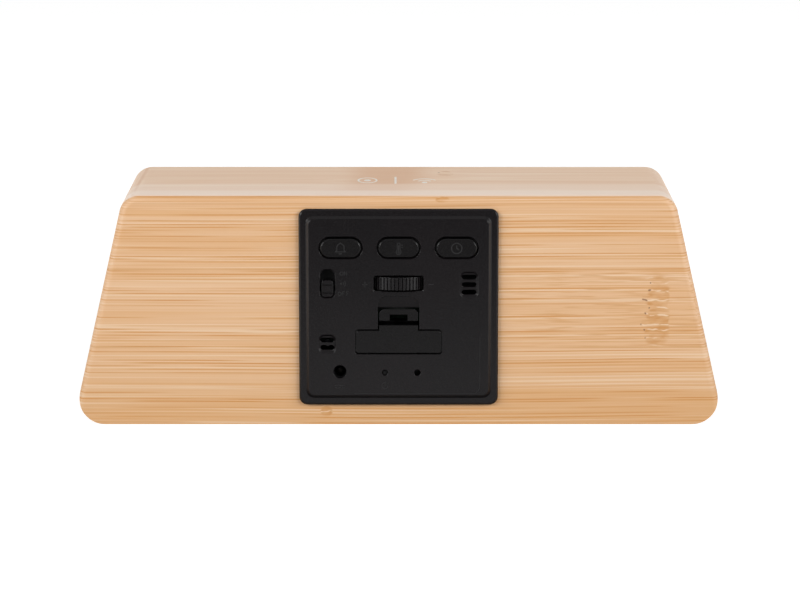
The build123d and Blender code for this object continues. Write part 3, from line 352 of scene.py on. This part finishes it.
# Black ABS from a spark-eroded mould: near black and satin, its edges a little rounded. The grit of such a
# mould is about 0.03 mm; it is drawn at 0.16 mm, because a finer one wouldn't show
black_plastic = moulded(
    "black_abs_moulded_satin", "#110D0F", "#0F0C0E",
    roughness=0.23, grit=0.16, ior=1.45, edge=0.2, relief=0.008)
# The same ABS on the buttons and the battery door, from moulds that are a little duller
loose_plastic = moulded(
    "black_abs_moulded_dull", "#0E0C0D", "#0C0A0B",
    roughness=0.24, grit=0.16, ior=1.41, edge=0.2, relief=0.008)
# The same ABS on raised signs, painted a little lighter: a painted highlight where their tops catch light
sign_plastic_painted_lighter = moulded("black_abs_raised_signs_painted_highlight", "#1B191B", "#181718", roughness=0.38, grit=0.3, ior=1.5)
# Glass-filled nylon of switch and socket housings: dull, near black
dark_plastic = moulded("black_nylon_moulded_housings", "#0B0B0C", "#09090A", roughness=0.6, grit=0.2, ior=1.28)
# Glass laminate under green solder mask: semi gloss, faintly uneven from the weave below; painted dark as shade
board_green_painted_dark = moulded("glass_laminate_solder_masked", "#10301C", "#0C2616", roughness=0.4, grit=0.9)
# Polycarbonate filled white, for reflectors and plugs: bright and slightly glossy
white_plastic = moulded("white_polycarbonate_moulded", "#EFEEE9", "#E6E5E0", roughness=0.4, grit=0.4)
# Frosted polyester film: milky and matt
frosted_film = moulded("polyester_film_frosted", "#E4E4E1", "#DCDCD9", roughness=0.6, grit=0.3)
# Phosphor under clear resin on the lamps: pale yellow and glossy
lamp_resin = moulded("lamp_resin_cast", "#F0E7B8", "#E8DC9E", roughness=0.2, grit=0.5)
# Flat ribbon of tinned wires in white film: pale grey, with a slight tooth
ribbon_film = moulded("ribbon_film_laminated", "#CFCFCC", "#B9B9B6", roughness=0.42, grit=0.5)
# Foam tape with glue on both sides: off white, open cells
foam_tape = moulded("foam_tape_cut", "#D5D3CC", "#C4C2BB", roughness=0.85, grit=0.35)
# Black epoxy dipped over the sensor: glossy
epoxy = moulded("black_epoxy_dipped", "#16161A", "#101014", roughness=0.2, grit=0.4)
# Moulded rubber of the boot: dull black
rubber = moulded("black_rubber_moulded", "#1A1A1A", "#141414", roughness=0.72, grit=0.25)
# Nickel-plated steel: grey with fine rolling marks
plated_steel = metal("steel_nickel_plated", "#C6C4BE", "#A9A7A1", roughness=0.32, grain=(8, 0.2, 0.2))
# Rolled copper: warm, with fine rolling marks
rolled_copper = metal("copper_foil_rolled", "#D9A07A", "#C4855C", roughness=0.34, grain=(9, 0.25, 0.25))
# Drawn aluminium can: light grey, with faint marks along the draw
drawn_can = metal("aluminium_can_drawn", "#CDCDCB", "#B4B4B2", roughness=0.36, grain=(0.3, 0.3, 3))
# Pin of the inlet: a dark mirror, dulled by use, its colour painted dark as the shade deep in the inlet
pin_painted_dark = metal("brass_pin_painted_dark", "#24211F", "#1B1917", roughness=0.42, grain=(0.3, 3, 0.3))

FINISHES = {
    "bamboo": bamboo, "veneer": veneer, "black_plastic": black_plastic, "dark_plastic": dark_plastic,
    "board": board_green_painted_dark, "frame_white": white_plastic, "film": frosted_film, "lamp": lamp_resin,
    "ribbon": ribbon_film, "tape": foam_tape, "steel": plated_steel, "copper": rolled_copper, "sensor": epoxy,
    "capsule": drawn_can, "rubber": rubber,
}
OWN_FINISHES = {
    "inlet_pin": pin_painted_dark, "alarm_button": loose_plastic, "temperature_button": loose_plastic,
    "time_button": loose_plastic, "battery_door": loose_plastic,
}
for subpart in frame["record"]["subparts"]:
    slots = frame["nodes"][subpart["node"]].data.materials
    slots.clear()
    slots.append(OWN_FINISHES.get(subpart["node"], FINISHES[subpart["material_slot"]]))


# White screen ink on the lacquer: flat, slightly warm, with a dry uneven edge to its tone
def printed_ink():
    finish, tree, shader, place = start("white_screen_ink_printed")
    dry = streaks(tree, place, (0.5, 0.5, 0.5), 0.35, 0.7, 8.0)
    two_tone(tree, shader, dry, "#F6EEE6", "#EADFD3")
    shader.inputs["Roughness"].default_value = 0.55
    return finish


# Lamp light through thin veneer: warm white, broken by the long fibres of the wood
def lit_veneer():
    finish, tree, shader, place = start("lamp_light_through_veneer")
    fibre = streaks(tree, place, (30, 0.8, 0.8), 0.35, 0.7, 5.0, 3.0)
    paint = two_tone(tree, shader, fibre, "#FFF6E6", "#F4DDBE")
    tree.links.new(paint, shader.inputs["Emission Color"])
    shader.inputs["Emission Strength"].default_value = 0.9
    shader.inputs["Roughness"].default_value = 0.4
    return finish


white_ink = printed_ink()
lit = lit_veneer()


# Signs
def arc(x, y, radius, begin, end, steps):
    """Points on an arc, angles in degrees, anticlockwise when the end is larger."""
    angles = [radians(begin + (end - begin) * i / steps) for i in range(steps + 1)]
    return [(x + radius * cos(a), y + radius * sin(a)) for a in angles]


def ring(x, y, radius, steps=28):
    return arc(x, y, radius, 0, 360, steps)[:-1]


def piece(name, face, points, faces, finish, body):
    """Piece of the scene from points in mm on a face, that rides on a body and has the given finish."""
    mesh = bpy.data.meshes.new(name)
    mesh.from_pydata([(face @ Vector(p)) * MM for p in points], [], faces)
    mesh.materials.append(finish)
    new = bpy.data.objects.new(name, mesh)
    bpy.context.scene.collection.objects.link(new)
    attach(new, body)


SHARPEST_MITRE = 0.5  # a stroke gets at most twice as wide at a sharp corner


def raised(name, strokes, face, place, level, height, finish, body):
    """Sign of flat strokes (points, width, closed) standing on a face, in mm, at a place and a level on it."""
    points, faces = [], []
    for line, width, closed in strokes:
        line = [Vector(p) for p in line]
        count = len(line)
        first = len(points)
        for i, here in enumerate(line):
            before = line[i - 1] if closed or i else None
            after = line[(i + 1) % count] if closed or i < count - 1 else None
            runs = [(q - p).normalized() for p, q in ((before, here), (here, after)) if p and q]
            across = sum((Vector((-r.y, r.x)) for r in runs), Vector((0, 0))).normalized()
            half = width / 2 / max(across.dot(Vector((-runs[0].y, runs[0].x))), SHARPEST_MITRE)
            for side, z in ((1, 0), (-1, 0), (-1, height), (1, height)):
                edge = here + across * half * side
                points.append((edge.x + place[0], edge.y + place[1], level + z))
        for i in range(count if closed else count - 1):
            a = first + 4 * i
            b = first + 4 * ((i + 1) % count)
            faces += [(a + k, b + k, b + (k + 1) % 4, a + (k + 1) % 4) for k in range(4)]
        if not closed:
            last = first + 4 * (count - 1)
            faces += [tuple(first + k for k in range(4)), tuple(last + k for k in (3, 2, 1, 0))]
    piece(name, face, points, faces, finish, body)


SUNK = 0.03  # foot of a sign inside what carries it
SIGN = 0.12  # height of a moulded sign with its foot
LINE = 0.34  # width of a stroke on the buttons
# height of the dark sheet of painted shade in the slide slot, with its foot
SHADE_SHEET_HEIGHT = 0.08  # height of the dust seal with its foot
INK = 0.02  # height of ink and of lit patches
BUTTON_X, BUTTON_Y = 17.9, 18.4

BELL = [
    (arc(0, 0.35, 1.1, 180, 0, 14) + [(1.1, -0.6), (1.5, -1.05), (-1.5, -1.05), (-1.1, -0.6)], LINE, True),
    (arc(0, -1.25, 0.5, 200, 340, 6), LINE, False),
    ([(0, 1.4), (0, 1.85)], LINE, False),
]
THERMOMETER = [
    (arc(0, -1.15, 0.75, 125, 415, 18) + [(0.43, 1.2)] + arc(0, 1.25, 0.43, 0, 180, 8), 0.28, True),
    ([(0, 1.0), (0, -1.1)], LINE, False),
    (ring(0, -1.15, 0.22, 12), 0.3, True),
    ([(0.85, 1.0), (1.35, 1.0)], 0.26, False),
    ([(0.85, 0.3), (1.35, 0.3)], 0.26, False),
]
CLOCK_FACE = [
    (ring(0, 0, 1.6), LINE, True),
    ([(0, 0.95), (0, 0), (0.7, -0.42)], LINE, False),
]
for button_name, strokes, x in (
    ("alarm_button", BELL, -BUTTON_X), ("temperature_button", THERMOMETER, 0),
    ("time_button", CLOCK_FACE, BUTTON_X),
):
    raised(f"{button_name}_sign", strokes, BACK_FACE, (x, BUTTON_Y), BUTTON_TOP - SUNK, SIGN, sign_plastic_painted_lighter,
           button_name)


def letters(word, size, line):
    """Strokes of a short word in plain capitals, centred."""
    shapes = {
        "O": [(ring(0.36, 0.5, 0.42, 20), True)],
        "N": [([(0.06, 0), (0.06, 1), (0.66, 0), (0.66, 1)], False)],
        "F": [([(0.08, 0), (0.08, 1), (0.62, 1)], False), ([(0.08, 0.5), (0.52, 0.5)], False)],
    }
    pitch, space = 1.0, 0.28
    left = -(len(word) * pitch - space) / 2
    strokes = []
    for i, letter in enumerate(word):
        for points, closed in shapes[letter]:
            placed = [((left + i * pitch + x) * size, (y - 0.5) * size) for x, y in points]
            strokes.append((placed, line, closed))
    return strokes


SOUND = [
    (ring(-0.75, 0, 0.16, 12), 0.3, True),
    (arc(-0.75, 0, 0.75, -42, 42, 8), 0.24, False),
    (arc(-0.75, 0, 1.35, -42, 42, 10), 0.24, False),
]
MINUS = [([(-0.75, 0), (0.75, 0)], 0.3, False)]
PLUS = MINUS + [([(0, -0.75), (0, 0.75)], 0.3, False)]
DIRECT_CURRENT = [([(-1.5, 0.3), (1.5, 0.3)], 0.28, False)] + [
    ([(x - 0.36, -0.35), (x + 0.36, -0.35)], 0.28, False) for x in (-1.14, 0, 1.14)]
RESTART = [
    (arc(0, 0, 0.95, 60, 345, 24), 0.28, False),
    ([(0.3, 1.3), (0.5, 0.8), (0.0, 0.55)], 0.28, False),
]
PANEL_LINE = [([(25.2, -9)] + arc(23.0, -24.6, 2.2, 0, -90, 8) + [(-14, -26.8)], 0.2, False)]
LETTER, LETTER_LINE = 1.25, 0.24
PANEL_SIGNS = [
    ("switch_on_sign", letters("ON", LETTER, LETTER_LINE), (-17.0, 10.6)),
    ("switch_sound_sign", SOUND, (-17.0, 7.45)),
    ("switch_off_sign", letters("OFF", LETTER, LETTER_LINE), (-17.0, 4.3)),
    ("wheel_plus_sign", PLUS, (-10.4, 7.2)),
    ("wheel_minus_sign", MINUS, (10.1, 7.2)),
    ("inlet_sign", DIRECT_CURRENT, (-18.3, -24.6)),
    ("reset_sign", RESTART, (-4.25, -24.4)),
    ("panel_line", PANEL_LINE, (0, 0)),
]
for name, strokes, spot in PANEL_SIGNS:
    raised(name, strokes, BACK_FACE, spot, PANEL_TOP - SUNK, SIGN, sign_plastic_painted_lighter, "case")

# Thin dark sheet on the shroud of the slide knob, above, below and beside the knob: painted shade in the slot
SLOT_SHADE_SHEET = [([(-3.6, y), (3.6, y)], 3.2, False) for y in (-4.25, 4.25)] + [
    ([(x, -2.6), (x, 2.6)], 1.7, False) for x in (-2.72, 2.72)]
raised("slide_slot_shade_sheet", SLOT_SHADE_SHEET, BACK_FACE, (-22.0, 5.95), SHROUD_TOP - SUNK, SHADE_SHEET_HEIGHT, dark_plastic,
       "slide_knob")

# Touch marks on the top: a bar between a ring with a dot and two arcs over a dot
TOUCH_MARKS = [
    ([(-1.0, -3.9), (-1.0, 4.1)], 0.7, False),
    (ring(-9.9, 0, 2.9, 36), 0.6, True),
    (ring(-9.9, 0, 0.55, 16), 1.1, True),
    (arc(8.2, -2.4, 2.4, 35, 145, 14), 0.6, False),
    (arc(8.2, -2.4, 4.3, 35, 145, 18), 0.6, False),
    (ring(8.2, -2.4, 0.45, 16), 0.9, True),
]
raised("touch_marks", TOUCH_MARKS, TOP_FACE, (0, 0), 0, INK, white_ink, "case")

# Lit segments of the display, in the places of the light wells behind the veneer
DIGIT_X = (-37, -15, 15, 37)
ARM_X, ARM_Y = 5.6, 11.1
SEGMENT, SEGMENT_GAP = 2.8, 0.5
COLON_RADIUS, COLON_Y = 1.6, 5
SEGMENTS = {
    "top": (0, ARM_Y, False), "middle": (0, 0, False), "bottom": (0, -ARM_Y, False),
    "upper_left": (-ARM_X, ARM_Y / 2, True), "upper_right": (ARM_X, ARM_Y / 2, True),
    "lower_left": (-ARM_X, -ARM_Y / 2, True), "lower_right": (ARM_X, -ARM_Y / 2, True),
}
SHOWN = {
    "0": "top bottom upper_left upper_right lower_left lower_right",
    "1": "upper_right lower_right",
    "2": "top middle bottom upper_right lower_left",
    "8": "top middle bottom upper_left upper_right lower_left lower_right",
}


def lit_digits(number):
    """Thin lit patches on the veneer, one closed form to a segment, and two round ones for the colon."""
    outlines = []
    for x, digit in zip(DIGIT_X, number):
        for segment in SHOWN[digit].split():
            dx, dy, stands = SEGMENTS[segment]
            tip = ((ARM_Y if stands else 2 * ARM_X) - SEGMENT_GAP) / 2
            half = SEGMENT / 2
            bar = [(-tip, 0), (half - tip, -half), (tip - half, -half), (tip, 0), (tip - half, half),
                   (half - tip, half)]
            bar = [(-v, u) if stands else (u, v) for u, v in bar]
            outlines.append([(x + dx + u, dy + v) for u, v in bar])
    outlines += [ring(0, y, COLON_RADIUS, 24) for y in (-COLON_Y, COLON_Y)]
    points, faces = [], []
    for outline in outlines:
        first, count = len(points), len(outline)
        points += [(u, v, -SUNK) for u, v in outline] + [(u, v, INK) for u, v in outline]
        faces.append(tuple(first + i for i in reversed(range(count))))
        faces.append(tuple(first + count + i for i in range(count)))
        for i in range(count):
            j = (i + 1) % count
            faces.append((first + i, first + j, first + count + j, first + count + i))
    piece("lit_digits", FRONT_FACE, points, faces, lit, "case")


lit_digits("1028")


# Floor, world, lamps and camera, in metres, degrees and watts
FLOOR_REACH, FLOOR_LEVEL = 6.0, -0.0001
LAMP_AZIMUTH, LAMP_ELEVATION = 55, 28.5
LAMP_AIM, LAMP_DISTANCE = (0, 0, 0.035), 1.5
LAMP_WIDTH, LAMP_HEIGHT, LAMP_POWER = 1.2, 0.46, 15.7
CAMERA_PLACE = (-0.00043, 0.55437, 0.22414)
CAMERA_AIM = (-0.00043, 0.02636, 0.03758)


def pale_floor():
    """Pale card: white to the camera, with its shadow; painted shade close by to shiny things, white far out.
    """
    finish, tree, shader, place = start("pale_card_floor")
    tree.nodes.remove(shader)
    path = add(tree, "LightPath", {}, {}, "all")
    far = add(tree, "VectorMath", {"operation": "LENGTH"}, {0: place}, "Value")
    # painted shade: to shiny things the card is darker close to the clock, as if in its shadow
    round_clock = add(tree, "VectorMath", {"operation": "MULTIPLY"}, {0: place, 1: (0.45, 1, 1)})
    glossy_painted_shade = add(tree, "VectorMath", {"operation": "LENGTH"}, {0: round_clock}, "Value")
    glossy_painted_shade = add(tree, "MapRange", SMOOTH, {"Value": glossy_painted_shade, "From Min": 0.16, "From Max": 0.05})
    glossy_painted_shade = add(tree, "Math", {"operation": "MULTIPLY"}, {0: glossy_painted_shade, 1: path["Is Glossy Ray"]})
    far = add(tree, "MapRange", SMOOTH, {"Value": far, "From Min": 0.12, "From Max": 0.5})
    far = add(tree, "Math", {"operation": "MULTIPLY"}, {0: far, 1: path["Is Glossy Ray"]})
    seen = add(tree, "Math", {"operation": "MAXIMUM"}, {
        0: path["Is Camera Ray"], 1: path["Is Transmission Ray"]})
    seen = add(tree, "Math", {"operation": "MAXIMUM"}, {0: seen, 1: far})
    paint = add(tree, "Mix", COLOURS, {"Factor": glossy_painted_shade, "A": linear("#B4B4B4"), "B": linear("#686868")})
    card = add(tree, "BsdfDiffuse", {}, {"Color": paint})
    glow = add(tree, "Emission", {}, {"Color": linear("#FFFFFF"), "Strength": 0.8})
    both = add(tree, "AddShader", {}, {0: card, 1: glow})
    mixed = add(tree, "MixShader", {}, {0: seen, 1: card, 2: both})
    tree.links.new(mixed, tree.nodes["Material Output"].inputs["Surface"])
    mesh = bpy.data.meshes.new("floor")
    corners = ((-1, -1), (1, -1), (1, 1), (-1, 1))
    mesh.from_pydata([(x * FLOOR_REACH, y * FLOOR_REACH, FLOOR_LEVEL) for x, y in corners], [], [(0, 1, 2, 3)])
    mesh.materials.append(finish)
    floor = bpy.data.objects.new("floor", mesh)
    bpy.context.scene.collection.objects.link(floor)


def studio_world():
    """White cloth that shiny things see, low on the camera's side and higher beyond; else a dim light."""
    world = bpy.data.worlds.new("studio")
    world.use_nodes = True
    bpy.context.scene.world = world
    tree = world.node_tree
    tree.nodes.clear()
    way = add(tree, "TexCoord", {}, {}, "Generated")
    axes = add(tree, "SeparateXYZ", {}, {0: way}, "all")
    rim = add(tree, "MapRange", {}, {
        "Value": axes["Y"], "From Min": -0.3, "From Max": 0.6, "To Min": 0.75, "To Max": 0.092})
    height = add(tree, "Math", {"operation": "DIVIDE"}, {0: axes["Z"], 1: rim})
    cloth = add(tree, "MapRange", SMOOTH, {"Value": height, "From Min": 1.3, "From Max": 0.7})
    ceiling = add(tree, "MapRange", {}, {
        "Value": axes["Z"], "From Min": 0.5, "From Max": 0.95, "To Min": 0.03, "To Max": 0.42})
    shown = add(tree, "Math", {"operation": "MAXIMUM"}, {0: cloth, 1: ceiling})
    dim = add(tree, "MapRange", {}, {"Value": axes["Z"], "From Max": 0.8, "To Min": 0.2, "To Max": 0.05})
    # The cloth beyond also lights the display side, low down
    beyond = add(tree, "MapRange", SMOOTH, {"Value": axes["Y"], "From Min": 0.0, "From Max": -0.3})
    low = add(tree, "MapRange", SMOOTH, {"Value": axes["Z"], "From Min": 0.5, "From Max": 0.3})
    fill = add(tree, "Math", {"operation": "MULTIPLY"}, {0: beyond, 1: low})
    dim = add(tree, "Math", {"operation": "MAXIMUM"}, {0: dim, 1: fill})
    path = add(tree, "LightPath", {}, {}, "all")
    strength = add(tree, "Mix", {"data_type": "FLOAT"}, {
        "Factor": path["Is Glossy Ray"], "A": dim, "B": shown})
    seen = add(tree, "Math", {"operation": "MAXIMUM"}, {
        0: path["Is Camera Ray"], 1: path["Is Transmission Ray"]})
    strength = add(tree, "Mix", {"data_type": "FLOAT"}, {"Factor": seen, "A": strength, "B": 1.0})
    sky = add(tree, "Background", {}, {"Color": linear("#FFFFFF"), "Strength": strength})
    tree.links.new(sky, tree.nodes.new("ShaderNodeOutputWorld").inputs["Surface"])


def softbox(name, azimuth):
    """Flat lamp that looks at the middle of the clock; azimuth 0 is straight behind it, in degrees."""
    lamp = bpy.data.lights.new(name, "AREA")
    lamp.shape = "RECTANGLE"
    lamp.size, lamp.size_y = LAMP_WIDTH, LAMP_HEIGHT
    lamp.energy = LAMP_POWER
    stand = bpy.data.objects.new(name, lamp)
    a, e = radians(azimuth), radians(LAMP_ELEVATION)
    way = Vector((sin(a) * cos(e), cos(a) * cos(e), sin(e)))
    stand.location = Vector(LAMP_AIM) + way * LAMP_DISTANCE
    stand.rotation_euler = way.to_track_quat("Z", "Y").to_euler()
    bpy.context.scene.collection.objects.link(stand)


pale_floor()
studio_world()
softbox("left_softbox", LAMP_AZIMUTH)
softbox("right_softbox", -LAMP_AZIMUTH)

lens = bpy.data.cameras.new("camera")
lens.sensor_width = 36
lens.lens = 81.26
lens.clip_start = 0.01
camera = bpy.data.objects.new("camera", lens)
camera.location = CAMERA_PLACE
aim = Vector(CAMERA_AIM) - camera.location
camera.rotation_euler = aim.to_track_quat("-Z", "Y").to_euler()
bpy.context.scene.collection.objects.link(camera)
bpy.context.scene.camera = camera
bpy.context.scene.view_settings.view_transform = "Standard"
